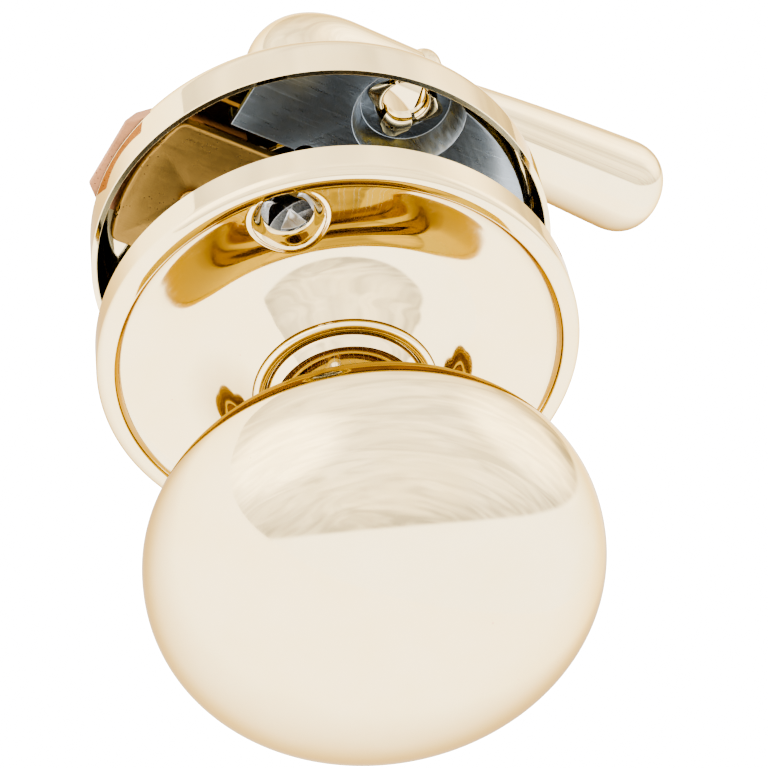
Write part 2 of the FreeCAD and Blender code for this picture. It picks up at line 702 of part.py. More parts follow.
def spindle():
    bar = square_bar(SPINDLE, (SPINDLE_START, SPINDLE_END))
    long_edges = [e for e in bar.Edges if e.BoundBox.YLength > 10]
    bar = bar.makeChamfer(0.3, long_edges)
    return bar.cut(pin_rod(PIN_R))


def spindle_pin():
    return pin_rod(PIN_R)


def neck_clip():
    clip = ring_y(HUB_CLIP_R, NECK_TUBE_R, (ROSE_Y - CLIP_H[1], ROSE_Y - CLIP_H[0]))
    for index in range(6):
        notch = box((HUB_CLIP_R - 0.6, 13), (ROSE_Y - 5, ROSE_Y), (-0.9, 0.9))
        notch.rotate(ORIGIN, AXIS_Y, index * 60)
        clip = clip.cut(notch)
    return clip


NODES = {
    "latch_case": latch_case,
    "retaining_plate": retaining_plate,
    "case_boss": case_boss,
    "boss_bushing": boss_bushing,
    "spring_bracket": spring_bracket,
    "bracket_rivets": bracket_rivets,
    "spring_guides": spring_guides,
    "bolt_springs": bolt_springs,
    "latch_slide": latch_slide,
    "bolt_nose": bolt_nose,
    "nose_rivet": nose_rivet,
    "hub_cam": hub_cam,
    "lever_shank": lever_shank,
    "shank_clip": shank_clip,
    "thrust_washer": thrust_washer,
    "lever_elbow": lever_elbow,
    "lever_set_screw": lever_set_screw,
    "lever_collar": lever_collar,
    "lever_grip": lever_grip,
    "outer_rose": outer_rose,
    "rose_backplate": rose_backplate,
    "rose_washer": rose_washer,
    "neck_clip": neck_clip,
    "knob_shell": knob_shell,
    "knob_back": knob_back,
    "knob_core": knob_core,
    "spindle": spindle,
    "spindle_pin": spindle_pin,
}


def main():
    os.makedirs("parts", exist_ok=True)
    for name, make in NODES.items():
        made = make()
        shape = Part.makeCompound(made) if isinstance(made, list) else made
        count = len(shape.Solids)
        state = "valid" if shape.isValid() else "INVALID"
        print(name, count, "solid(s)", state, round(shape.Volume, 1), "mm3")
        shape.exportStep("parts/" + name + ".step")


main()
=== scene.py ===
import math

import bmesh
import bpy
from mathutils import Matrix, Vector


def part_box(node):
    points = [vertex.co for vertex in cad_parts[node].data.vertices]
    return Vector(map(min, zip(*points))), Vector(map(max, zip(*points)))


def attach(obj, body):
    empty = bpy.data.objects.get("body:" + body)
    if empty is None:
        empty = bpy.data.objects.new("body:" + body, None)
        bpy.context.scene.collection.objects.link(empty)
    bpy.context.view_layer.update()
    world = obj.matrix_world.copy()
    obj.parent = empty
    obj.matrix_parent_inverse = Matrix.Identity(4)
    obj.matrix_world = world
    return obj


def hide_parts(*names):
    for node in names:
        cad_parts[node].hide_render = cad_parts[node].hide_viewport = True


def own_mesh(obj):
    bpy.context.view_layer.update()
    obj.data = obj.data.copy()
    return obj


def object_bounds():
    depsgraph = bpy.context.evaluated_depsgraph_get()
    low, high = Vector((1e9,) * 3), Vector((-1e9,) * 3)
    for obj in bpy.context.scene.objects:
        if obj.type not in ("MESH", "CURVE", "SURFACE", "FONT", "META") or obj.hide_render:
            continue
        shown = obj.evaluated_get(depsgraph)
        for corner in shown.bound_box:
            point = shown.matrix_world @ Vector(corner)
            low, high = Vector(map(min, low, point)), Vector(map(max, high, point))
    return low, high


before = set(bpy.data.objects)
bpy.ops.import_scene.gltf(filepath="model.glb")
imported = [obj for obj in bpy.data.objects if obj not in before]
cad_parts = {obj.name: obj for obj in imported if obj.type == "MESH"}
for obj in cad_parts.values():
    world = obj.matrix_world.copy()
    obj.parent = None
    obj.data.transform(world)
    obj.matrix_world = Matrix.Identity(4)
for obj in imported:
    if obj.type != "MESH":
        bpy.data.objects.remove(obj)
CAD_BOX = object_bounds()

bl_info = {
    "name": "Screen Door Knob Latch",
    "version": (1, 0, 0),
    "blender": (4, 5, 0),
    "location": "3D View > Sidebar > Latch",
    "description": "Makes the finished pieces, the finishes and the studio of a surface-mounted knob latch",
    "category": "Object",
}

# Lengths in the making of a piece are millimetres; a finished piece is in metres.
MM = 0.001
AXIS_X = Vector((1, 0, 0))
AXIS_Y = Vector((0, 1, 0))
AXIS_Z = Vector((0, 0, 1))
FULL_TURN = 2 * math.pi
DENSE = 256              # steps round the mirror-bright discs
ROUND = 160              # steps round the smaller turned pieces


def box_mm(node):
    """Lowest and highest corner of a CAD node, in millimetres."""
    low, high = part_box(node)
    return Vector(low) / MM, Vector(high) / MM


CASE_LOW, CASE_HIGH = box_mm("latch_case")
ROSE_LOW, ROSE_HIGH = box_mm("outer_rose")
KNOB_LOW, KNOB_HIGH = box_mm("knob_shell")
GRIP_LOW, GRIP_HIGH = box_mm("lever_grip")
BOSS_LOW, BOSS_HIGH = box_mm("case_boss")


# ---- sizes and colours that a maker would change ----
def length(name, description, default):
    return bpy.props.FloatProperty(name=name, description=description, default=default, unit="NONE",
                                   precision=3, soft_min=0.0)


def colour(name, description, default):
    return bpy.props.FloatVectorProperty(name=name, description=description, default=default,
                                         subtype="COLOR", size=3, min=0.0, max=1.0)


class LatchSizes(bpy.types.PropertyGroup):
    """Sizes in millimetres; the boxes of model.glb's nodes give the outer ones."""
    disc_radius: length("Disc radius", "Radius of the case and the rose", CASE_HIGH.x)
    case_depth: length("Case depth", "Door face to the back of the case", 9.0)
    case_round: length("Case rounding", "Radius of the case's corner", 3.4)
    sheet: length("Sheet", "Thickness of the brass sheet", 0.8)
    screw_ring: length("Screw ring", "Distance of a screw hole from the spindle", 23.5)
    screw_hole: length("Screw hole", "Radius of a screw hole", 2.75)
    knob_radius: length("Knob radius", "Radius of the knob's widest ring", KNOB_HIGH.x)
    knob_front: length("Knob front", "Depth of the knob in front of its widest ring", 19.3)
    knob_rear: length("Knob rear", "Depth of the knob behind its widest ring", 16.8)
    arm_radius: length("Arm radius", "Radius of the lever's neck and arm", 7.2)
    soft_edge: length("Soft edge", "Width of the rounding on sheet edges", 0.12)


class LatchFinishes(bpy.types.PropertyGroup):
    """Base colours of the finishes, the painted reflection colour of the polished brass, and the strength of the
    light.
    """
    brass: colour("Polished brass", "Colour of the bright brass under its lacquer", (0.785, 0.655, 0.405))
    # Painted reflection: a deeper gold that the polished brass takes only where it is seen in a glossy reflection
    painted_reflection_brass: colour("Painted reflection brass", "Colour of the bright brass where it mirrors itself", (0.38, 0.27, 0.055))
    raw_brass: colour("Raw brass", "Colour of the unpolished brass slide", (0.33, 0.205, 0.062))
    nose_brass: colour("Nose brass", "Colour of the bolt's cast nose", (0.33, 0.175, 0.10))
    zinc: colour("Zinc", "Colour of the galvanised sheet", (0.22, 0.245, 0.27))
    steel: colour("Steel", "Colour of the plated steel", (0.55, 0.56, 0.57))
    spring_steel: colour("Spring steel", "Colour of springs and clips", (0.34, 0.34, 0.35))
    bronze: colour("Bronze", "Colour of the sintered bush", (0.50, 0.30, 0.13))
    nylon: colour("Nylon", "Colour of the nylon washers", (0.78, 0.77, 0.72))
    light: bpy.props.FloatProperty(name="Light", description="Strength of the studio's white light",
                                   default=3.8, min=0.0)


def sizes():
    return bpy.context.scene.latch_sizes


def finishes():
    return bpy.context.scene.latch_finishes


# ---- outlines ----
def arc(centre, radius, start, end, steps):
    """Points of an arc as (across, along), with its angles in degrees."""
    points = []
    for index in range(steps + 1):
        angle = math.radians(start + (end - start) * index / steps)
        points.append((centre[0] + radius * math.cos(angle), centre[1] + radius * math.sin(angle)))
    return points


def straight(start, end, steps):
    """Points of a line, without its start."""
    return [(start[0] + (end[0] - start[0]) * index / steps, start[1] + (end[1] - start[1]) * index / steps)
            for index in range(1, steps + 1)]


def flowing(points, steps):
    """A smooth line through points, with the same number of steps between each pair."""
    made = []
    count = len(points)
    for index in range(count - 1):
        before = points[max(index - 1, 0)]
        here = points[index]
        there = points[index + 1]
        after = points[min(index + 2, count - 1)]
        for step in range(steps):
            t = step / steps
            made.append(tuple(
                0.5 * (2 * b + (c - a) * t + (2 * a - 5 * b + 4 * c - d) * t * t
                       + (3 * b - a - 3 * c + d) * t ** 3)
                for a, b, c, d in zip(before, here, there, after)))
    made.append(points[-1])
    return made


def superellipse(radius, depth, power, start, end, steps):
    """Points of a swelling form: the angle runs from the widest ring (0) to the pole (90)."""
    points = []
    for index in range(steps + 1):
        angle = math.radians(start + (end - start) * index / steps)
        across = abs(math.cos(angle)) ** (2 / power) if abs(math.cos(angle)) > 1e-9 else 0.0
        along = abs(math.sin(angle)) ** (2 / power)
        points.append((radius * across, depth * along))
    return points


def height_at(points, radius):
    """Height of an outline where it crosses a radius; the outline runs inwards."""
    for (r0, h0), (r1, h1) in zip(points, points[1:]):
        if r1 <= radius <= r0:
            share = (r0 - radius) / (r0 - r1) if r0 > r1 else 0.0
            return h0 + (h1 - h0) * share
    return points[-1][1] if radius < points[-1][0] else points[0][1]


# ---- mesh making ----
def spun(outline, steps=ROUND, axis=AXIS_Y, closed=False):
    """A turned form: its outline is (radius, place along the axis)."""
    bm = bmesh.new()
    if axis == AXIS_X:
        verts = [bm.verts.new((along, across, 0)) for across, along in outline]
    else:
        verts = [bm.verts.new((across, along, 0)) for across, along in outline]
    pairs = list(zip(verts, verts[1:]))
    if closed:
        pairs.append((verts[-1], verts[0]))
    edges = [bm.edges.new(pair) for pair in pairs]
    bmesh.ops.spin(bm, geom=verts + edges, cent=(0, 0, 0), axis=axis, angle=FULL_TURN, steps=steps,
                   use_merge=True)
    bmesh.ops.remove_doubles(bm, verts=bm.verts, dist=1e-4)
    bmesh.ops.recalc_face_normals(bm, faces=bm.faces)
    return bm


def face_outwards(bm, towards):
    """Turns an open sheet so that the face furthest along a direction looks that way."""
    furthest = max(bm.faces, key=lambda face: face.calc_center_median().dot(towards))
    if furthest.normal.dot(towards) < 0:
        bmesh.ops.reverse_faces(bm, faces=bm.faces)


def pierce(bm, centre, along, radius, reach, seat=None, cuts=3, depth=4.0):
    """Opens a round hole in a sheet. The mesh is made finer within reach, and seat puts its points back in place."""
    centre = Vector(centre)

    def offset(point):
        away = point - centre
        return away - along * away.dot(along)

    def is_near(vert):
        return offset(vert.co).length < reach and abs((vert.co - centre).dot(along)) < depth

    near = [edge for edge in bm.edges if is_near(edge.verts[0]) and is_near(edge.verts[1])]
    bmesh.ops.subdivide_edges(bm, edges=near, cuts=cuts, use_grid_fill=True)
    inside = []
    for face in bm.faces:
        middle = face.calc_center_median()
        if offset(middle).length < radius and abs((middle - centre).dot(along)) < depth:
            inside.append(face)
    rim = {edge for face in inside for edge in face.edges if len(edge.link_faces) == 2
           and any(other not in inside for other in edge.link_faces)}
    rim_verts = {vert for edge in rim for vert in edge.verts}
    bmesh.ops.delete(bm, geom=inside, context="FACES")
    if seat:
        for vert in bm.verts:
            if is_near(vert):
                seat(vert)
    for vert in rim_verts:
        if vert.is_valid:
            away = offset(vert.co)
            vert.co += away.normalized() * radius - away
            if seat:
                seat(vert)


def sweep_petal(bm, path, half, centre, turn, taper):
    """One petal: its path is swept part of the way round a hole, then narrowed and curled to its tip."""
    start = len(bm.verts)
    verts = [bm.verts.new((across, along, 0)) for across, along in path]
    edges = [bm.edges.new(pair) for pair in zip(verts, verts[1:])]
    bmesh.ops.spin(bm, geom=verts + edges, cent=(0, 0, 0), axis=AXIS_Y, angle=2 * half, steps=14)
    bm.verts.ensure_lookup_table()
    made = bm.verts[start:]
    root, tip = path[0][0], path[-1][0]
    for vert in made:
        away = math.hypot(vert.co.x, vert.co.z)
        bearing = math.atan2(-vert.co.z, vert.co.x) - half
        share = max(0.0, min(1.0, (away - root) / (tip - root)))
        edge = bearing / half
        away += (root - away) * 0.3 * share * edge * edge
        bearing = bearing * (1.0 - taper * share) + turn
        along = vert.co.y + 0.35 * share * edge * edge
        vert.co = Vector((centre[0] + away * math.cos(bearing), along, centre[1] + away * math.sin(bearing)))
    own = set(made)
    faces = [face for face in bm.faces if own.issuperset(face.verts)]
    bmesh.ops.recalc_face_normals(bm, faces=faces)
    if faces[len(faces) // 2].normal.y > 0:
        bmesh.ops.reverse_faces(bm, faces=faces)


def turned(bm, angle):
    """Turns a mesh about the spindle; a positive angle turns +X towards +Z."""
    bmesh.ops.rotate(bm, verts=bm.verts, cent=(0, 0, 0), matrix=Matrix.Rotation(-math.radians(angle), 3, "Y"))
    return bm


def softened(piece, width, segments=2):
    """Rounds the sharp edges of a piece."""
    bevel = piece.modifiers.new("Soft edges", "BEVEL")
    bevel.width = width * MM
    bevel.segments = segments
    bevel.profile = 0.5
    bevel.limit_method = "ANGLE"
    bevel.angle_limit = math.radians(32)
    bevel.harden_normals = True
    bevel.use_clamp_overlap = False


def walled(piece, thickness):
    """Gives an open sheet its thickness, inwards from the side that faces out."""
    wall = piece.modifiers.new("Sheet", "SOLIDIFY")
    wall.thickness = thickness * MM
    wall.offset = -1
    wall.use_even_offset = True


def finished(bm, name, body, material, nodes=(), wall=0.0, edge=0.0):
    """Makes the piece from its mesh in millimetres and puts it on its body."""
    bmesh.ops.scale(bm, vec=(MM, MM, MM), verts=bm.verts)
    for face in bm.faces:
        face.smooth = True
    mesh = bpy.data.meshes.new(name)
    bm.to_mesh(mesh)
    bm.free()
    piece = bpy.data.objects.new(name, mesh)
    bpy.context.scene.collection.objects.link(piece)
    mesh.materials.append(material)
    if wall:
        walled(piece, wall)
    if edge:
        softened(piece, edge)
    else:
        mesh.set_sharp_from_angle(angle=math.radians(40))
    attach(piece, body)
    if nodes:
        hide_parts(*nodes)
    return piece


def from_node(node):
    """A merged copy of a CAD node's mesh in millimetres, with its flat faces whole."""
    bm = bmesh.new()
    bm.from_mesh(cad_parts[node].data)
    bmesh.ops.scale(bm, vec=(1 / MM, 1 / MM, 1 / MM), verts=bm.verts)
    bmesh.ops.remove_doubles(bm, verts=bm.verts, dist=1e-3)
    bmesh.ops.dissolve_limit(bm, angle_limit=math.radians(0.6), verts=bm.verts, edges=bm.edges)
    return bm


# ---- material making ----
def put(tree, kind, **sockets):
    """Adds a node; a keyword with a lower-case first letter is a property, the others are sockets."""
    made = tree.nodes.new(kind)
    for name, value in sockets.items():
        if name[0].islower():
            setattr(made, name, value)
        else:
            made.inputs[name.replace("_", " ")].default_value = value
    return made


def link(tree, source, target):
    tree.links.new(source, target)


def new_group(name, inputs, outputs):
    """An empty shader node group with its sockets."""
    group = bpy.data.node_groups.new(name, "ShaderNodeTree")
    for label, default in inputs:
        socket = group.interface.new_socket(name=label, in_out="INPUT", socket_type="NodeSocketFloat")
        socket.default_value = default
    for label in outputs:
        group.interface.new_socket(name=label, in_out="OUTPUT", socket_type="NodeSocketFloat")
    entry = group.nodes.new("NodeGroupInput")
    leave = group.nodes.new("NodeGroupOutput")
    return group, entry, leave


def reuse(tree, name, **values):
    """Places a node group in a material with its own values."""
    made = tree.nodes.new("ShaderNodeGroup")
    made.node_tree = bpy.data.node_groups[name]
    for label, value in values.items():
        made.inputs[label].default_value = value
    return made


def ranged(tree, source, low, high, to_low=0.0, to_high=1.0):
    """Maps a value from one range to another, held inside it."""
    made = put(tree, "ShaderNodeMapRange")
    for name, value in (("From Min", low), ("From Max", high), ("To Min", to_low), ("To Max", to_high)):
        made.inputs[name].default_value = value
    link(tree, source, made.inputs["Value"])
    return made.outputs[0]


def maths(tree, operation, first, second):
    """A Math node; a second value may be a number or a socket."""
    made = put(tree, "ShaderNodeMath", operation=operation)
    for place, value in enumerate((first, second)):
        if isinstance(value, (int, float)):
            made.inputs[place].default_value = value
        else:
            link(tree, value, made.inputs[place])
    return made.outputs[0]


def blended(tree, mask, first, second):
    """A colour between two colours, by a mask."""
    made = put(tree, "ShaderNodeMix", data_type="RGBA")
    link(tree, mask, made.inputs[0])
    for place, value in ((6, first), (7, second)):
        if isinstance(value, (tuple, list)):
            made.inputs[place].default_value = (*value, 1.0)
        else:
            link(tree, value, made.inputs[place])
    return made.outputs[2]


def make_polish_group():
    """Haze, hairlines and the slight waviness of buffed sheet."""
    group, entry, leave = new_group("Polish marks", [("Haze", 0.04), ("Hairlines", 0.03)],
                                    ["Roughness", "Height"])
    place = put(group, "ShaderNodeTexCoord")
    haze = put(group, "ShaderNodeTexNoise", Scale=160.0, Detail=4.0, Roughness=0.55)
    link(group, place.outputs["Object"], haze.inputs["Vector"])
    stretch = put(group, "ShaderNodeMapping")
    stretch.inputs["Rotation"].default_value = (0.4, 0.9, 0.2)
    stretch.inputs["Scale"].default_value = (5200.0, 240.0, 900.0)
    link(group, place.outputs["Object"], stretch.inputs["Vector"])
    lines = put(group, "ShaderNodeTexNoise", Scale=1.0, Detail=2.0, Roughness=0.5)
    link(group, stretch.outputs[0], lines.inputs["Vector"])
    marks = ranged(group, lines.outputs[0], 0.62, 0.72)
    cloudy = ranged(group, haze.outputs[0], 0.4, 0.68)
    rough = maths(group, "ADD", maths(group, "MULTIPLY", cloudy, entry.outputs["Haze"]),
                  maths(group, "MULTIPLY", marks, entry.outputs["Hairlines"]))
    link(group, rough, leave.inputs["Roughness"])
    wave = put(group, "ShaderNodeTexNoise", Scale=70.0, Detail=1.0, Roughness=0.4)
    link(group, place.outputs["Object"], wave.inputs["Vector"])
    link(group, wave.outputs[0], leave.inputs["Height"])


def make_speck_group():
    """Small dark specks, in clusters."""
    group, entry, leave = new_group("Specks", [("Scale", 900.0), ("Size", 0.16), ("Amount", 0.5)], ["Mask"])
    place = put(group, "ShaderNodeTexCoord")
    dots = put(group, "ShaderNodeTexVoronoi")
    link(group, place.outputs["Object"], dots.inputs["Vector"])
    link(group, entry.outputs["Scale"], dots.inputs["Scale"])
    where = put(group, "ShaderNodeTexNoise", Scale=260.0, Detail=3.0)
    link(group, place.outputs["Object"], where.inputs["Vector"])
    inside = maths(group, "LESS_THAN", dots.outputs[0], entry.outputs["Size"])
    patch = maths(group, "GREATER_THAN", where.outputs[0], entry.outputs["Amount"])
    link(group, maths(group, "MULTIPLY", inside, patch), leave.inputs["Mask"])


def make_grain_group():
    """Rolling lines and handling scratches of plain sheet metal."""
    group, entry, leave = new_group("Sheet grain", [("Fineness", 1.0), ("Turn", 0.0)],
                                    ["Grain", "Scratches", "Cloud"])
    place = put(group, "ShaderNodeTexCoord")
    turn = put(group, "ShaderNodeCombineXYZ")
    link(group, entry.outputs["Turn"], turn.inputs["Y"])
    fine = put(group, "ShaderNodeMapping")
    fine.inputs["Scale"].default_value = (240.0, 240.0, 5200.0)
    link(group, turn.outputs[0], fine.inputs["Rotation"])
    link(group, place.outputs["Object"], fine.inputs["Vector"])
    scaled = put(group, "ShaderNodeVectorMath", operation="SCALE")
    link(group, fine.outputs[0], scaled.inputs[0])
    link(group, entry.outputs["Fineness"], scaled.inputs["Scale"])
    grain = put(group, "ShaderNodeTexNoise", Scale=1.0, Detail=3.0, Roughness=0.65)
    link(group, scaled.outputs[0], grain.inputs["Vector"])
    link(group, grain.outputs[0], leave.inputs["Grain"])
    cross = put(group, "ShaderNodeMapping")
    cross.inputs["Rotation"].default_value = (0.0, 0.85, 0.0)
    cross.inputs["Scale"].default_value = (150.0, 400.0, 3400.0)
    link(group, place.outputs["Object"], cross.inputs["Vector"])
    scratch = put(group, "ShaderNodeTexNoise", Scale=1.0, Detail=1.0, Roughness=0.5)
    link(group, cross.outputs[0], scratch.inputs["Vector"])
    link(group, ranged(group, scratch.outputs[0], 0.64, 0.70), leave.inputs["Scratches"])
    cloud = put(group, "ShaderNodeTexNoise", Scale=130.0, Detail=4.0, Roughness=0.6)
    link(group, place.outputs["Object"], cloud.inputs["Vector"])
    link(group, cloud.outputs[0], leave.inputs["Cloud"])


def new_material(name):
    material = bpy.data.materials.new(name)
    material.use_nodes = True
    tree = material.node_tree
    shader = tree.nodes["Principled BSDF"]
    return material, tree, shader


def bump(tree, shader, height, distance, strength=1.0):
    made = put(tree, "ShaderNodeBump", Strength=strength, Distance=distance)
    link(tree, height, made.inputs["Height"])
    link(tree, made.outputs[0], shader.inputs["Normal"])


def polished_brass():
    """Bright plated brass under clear lacquer."""
    material, tree, shader = new_material("Polished brass")
    base = tuple(finishes().brass)
    shader.inputs["Metallic"].default_value = 1.0
    marks = reuse(tree, "Polish marks", Haze=0.05, Hairlines=0.05)
    link(tree, maths(tree, "ADD", marks.outputs["Roughness"], 0.035), shader.inputs["Roughness"])
    grain = reuse(tree, "Sheet grain", Fineness=0.6, Turn=0.4)
    tint = ranged(tree, grain.outputs["Cloud"], 0.3, 0.7)
    warm = tuple(value * factor for value, factor in zip(base, (0.985, 0.955, 0.88)))
    tone = blended(tree, tint, base, warm)
    specks = reuse(tree, "Specks", Scale=520.0, Size=0.05, Amount=0.62)
    dark = tuple(value * 0.55 for value in base)
    plain = blended(tree, specks.outputs["Mask"], tone, dark)
    bounce = put(tree, "ShaderNodeLightPath")
    # Painted shade: the colour turns a darker, warmer gold where the surface turns away from the view, towards its
    # edges
    edge = put(tree, "ShaderNodeLayerWeight", Blend=0.5)
    rim = ranged(tree, edge.outputs["Facing"], 0.62, 0.98, 0.0, 0.85)
    painted_edge_gold = tuple(value * factor for value, factor in zip(base, (0.68, 0.62, 0.48)))
    plain = blended(tree, rim, plain, painted_edge_gold)
    shader.inputs["Specular Tint"].default_value = (0.72, 0.58, 0.36, 1.0)
    # Painted reflection: rays that reach the brass by a glossy bounce get the deeper gold instead of the plain
    # colour
    painted_reflection_tint = tuple(finishes().painted_reflection_brass)
    link(tree, blended(tree, bounce.outputs["Is Glossy Ray"], plain, painted_reflection_tint), shader.inputs["Base Color"])
    bump(tree, shader, marks.outputs["Height"], 0.00002)
    return material


def dull_brass(name, base, speck_amount):
    """Unpolished brass with small dark specks and faint grain."""
    material, tree, shader = new_material(name)
    base = tuple(base)
    shader.inputs["Metallic"].default_value = 1.0
    grain = reuse(tree, "Sheet grain", Fineness=0.8, Turn=0.15)
    specks = reuse(tree, "Specks", Scale=1500.0, Size=0.15, Amount=speck_amount)
    worn = ranged(tree, grain.outputs["Cloud"], 0.35, 0.7)
    light = tuple(min(value * 1.3, 1.0) for value in base)
    tone = blended(tree, worn, base, light)
    dark = tuple(value * 0.5 for value in base)
    link(tree, blended(tree, specks.outputs["Mask"], tone, dark), shader.inputs["Base Color"])
    rough = ranged(tree, grain.outputs["Grain"], 0.3, 0.75, 0.38, 0.56)
    link(tree, maths(tree, "ADD", rough, maths(tree, "MULTIPLY", specks.outputs["Mask"], 0.25)),
         shader.inputs["Roughness"])
    height = maths(tree, "SUBTRACT", maths(tree, "MULTIPLY", grain.outputs["Grain"], 0.5),
                   specks.outputs["Mask"])
    bump(tree, shader, height, 0.000012)
    return material


def galvanised():
    """Zinc-coated sheet: blue-grey, with rolling lines, scratches and a cloudy bloom."""
    material, tree, shader = new_material("Galvanised")
    base = tuple(finishes().zinc)
    shader.inputs["Metallic"].default_value = 1.0
    grain = reuse(tree, "Sheet grain", Fineness=1.0, Turn=-0.75)
    light = tuple(min(value * 1.35, 1.0) for value in base)
    cloud = ranged(tree, grain.outputs["Cloud"], 0.3, 0.7)
    tone = blended(tree, cloud, base, light)
    bright = tuple(min(value * 1.4, 1.0) for value in base)
    link(tree, blended(tree, grain.outputs["Scratches"], tone, bright), shader.inputs["Base Color"])
    link(tree, ranged(tree, grain.outputs["Grain"], 0.3, 0.75, 0.26, 0.4), shader.inputs["Roughness"])
    height = maths(tree, "SUBTRACT", grain.outputs["Grain"], grain.outputs["Scratches"])
    bump(tree, shader, height, 0.000005)
    return material


def plain_steel(name, base, rough):
    """Plated or oiled steel with faint grain and a few stains."""
    material, tree, shader = new_material(name)
    base = tuple(base)
    shader.inputs["Metallic"].default_value = 1.0
    grain = reuse(tree, "Sheet grain", Fineness=1.4, Turn=0.3)
    dark = tuple(value * 0.7 for value in base)
    link(tree, blended(tree, ranged(tree, grain.outputs["Cloud"], 0.35, 0.75), base, dark),
         shader.inputs["Base Color"])
    link(tree, ranged(tree, grain.outputs["Grain"], 0.3, 0.75, rough - 0.06, rough + 0.1),
         shader.inputs["Roughness"])
    bump(tree, shader, grain.outputs["Grain"], 0.000006)
    return material


def sintered_bronze():
    """Porous bearing bronze."""
    material, tree, shader = new_material("Sintered bronze")
    base = tuple(finishes().bronze)
    shader.inputs["Metallic"].default_value = 1.0
    specks = reuse(tree, "Specks", Scale=3200.0, Size=0.3, Amount=0.35)
    link(tree, blended(tree, specks.outputs["Mask"], base, tuple(value * 0.35 for value in base)),
         shader.inputs["Base Color"])
    link(tree, ranged(tree, specks.outputs["Mask"], 0.0, 1.0, 0.42, 0.7), shader.inputs["Roughness"])
    bump(tree, shader, maths(tree, "SUBTRACT", 1.0, specks.outputs["Mask"]), 0.00001)
    return material


def nylon():
    """Natural nylon, slightly cloudy."""
    material, tree, shader = new_material("Nylon")
    base = tuple(finishes().nylon)
    grain = reuse(tree, "Sheet grain", Fineness=0.5, Turn=0.0)
    darker = tuple(value * 0.9 for value in base)
    link(tree, blended(tree, grain.outputs["Cloud"], base, darker), shader.inputs["Base Color"])
    link(tree, ranged(tree, grain.outputs["Cloud"], 0.3, 0.7, 0.42, 0.55), shader.inputs["Roughness"])
    shader.inputs["Subsurface Weight"].default_value = 0.15
    shader.inputs["Subsurface Radius"].default_value = (0.001, 0.001, 0.0008)
    bump(tree, shader, grain.outputs["Grain"], 0.00001)
    return material


def material_of(name):
    return bpy.data.materials[name]


# ---- base of every operator ----
class LatchStep:
    """One step of the making; it fails loudly."""
    bl_options = {"REGISTER", "UNDO"}

    def execute(self, context):
        self.make()
        return {"FINISHED"}


class LATCH_OT_finishes(LatchStep, bpy.types.Operator):
    """Make the finishes and their shared effects"""
    bl_idname = "latch.finishes"
    bl_label = "Finishes"

    def make(self):
        make_polish_group()
        make_speck_group()
        make_grain_group()
        polished_brass()
        dull_brass("Raw brass", finishes().raw_brass, 0.5)
        dull_brass("Nose brass", finishes().nose_brass, 0.58)
        galvanised()
        plain_steel("Plated steel", finishes().steel, 0.3)
        plain_steel("Spring steel", finishes().spring_steel, 0.34)
        sintered_bronze()
        nylon()


class LATCH_OT_case(LatchStep, bpy.types.Operator):
    """Make the round brass case with its holes, window and petals"""
    bl_idname = "latch.case"
    bl_label = "Latch case"
    centre_hole = 14.0
    rivet_places = ((22.6, 2.6), (22.6, -2.6))
    rivet_radius = 1.2
    window_half = 8.3
    window_y = (5.9, 8.15)
    petal_path = ((2.98, 8.5), (2.95, 7.75), (3.0, 7.25), (3.3, 6.92), (3.8, 6.8), (4.5, 6.88), (5.35, 7.12))
    petal_half_turn = 42.0

    def make(self):
        size = sizes()
        radius, depth, corner = size.disc_radius, size.case_depth, size.case_round
        outline = [(radius, 0.0)]
        outline += straight(outline[-1], (radius, depth - corner), 8)
        outline += arc((radius - corner, depth - corner), corner, 0, 90, 24)[1:]
        outline += straight(outline[-1], (self.centre_hole, depth), 14)
        case = spun(outline, DENSE)
        face_outwards(case, AXIS_Y)
        for z in (size.screw_ring, -size.screw_ring):
            pierce(case, (0, depth, z), AXIS_Y, size.screw_hole, size.screw_hole + 1.0, depth=1.0)
        for x, z in self.rivet_places:
            pierce(case, (x, depth, z), AXIS_Y, self.rivet_radius, self.rivet_radius + 0.8, depth=1.0)
        self.open_window(case)
        finished(case, "case_body", "case", material_of("Polished brass"),
                 nodes=["latch_case"], wall=size.sheet, edge=size.soft_edge)
        self.make_petals()

    def open_window(self, case):
        """Cuts the bolt's window through the corner of the case."""
        planes = [((0, 0, self.window_half), AXIS_Z), ((0, 0, -self.window_half), AXIS_Z),
                  ((0, self.window_y[0], 0), AXIS_Y), ((0, self.window_y[1], 0), AXIS_Y)]
        for point, normal in planes:
            beside = [face for face in case.faces if face.calc_center_median().x < -24
                      and abs(face.calc_center_median().z) < 12]
            geometry = list({item for face in beside for item in (face, *face.edges, *face.verts)})
            bmesh.ops.bisect_plane(case, geom=geometry, plane_co=point, plane_no=normal, dist=1e-4)
        gone = []
        for face in case.faces:
            middle = face.calc_center_median()
            if (middle.x < -24 and abs(middle.z) < self.window_half
                    and self.window_y[0] < middle.y < self.window_y[1]):
                gone.append(face)
        bmesh.ops.delete(case, geom=gone, context="FACES")

    def make_petals(self):
        """Four petals folded out of each screw hole, over the plate."""
        size = sizes()
        petals = bmesh.new()
        half = math.radians(self.petal_half_turn)
        path = flowing(self.petal_path, 4)
        for z in (size.screw_ring, -size.screw_ring):
            for index in range(4):
                sweep_petal(petals, path, half, (0, z), index * math.pi / 2 + 0.12, taper=0.66)
        finished(petals, "case_petals", "case", material_of("Polished brass"),
                 wall=0.42, edge=0.09)


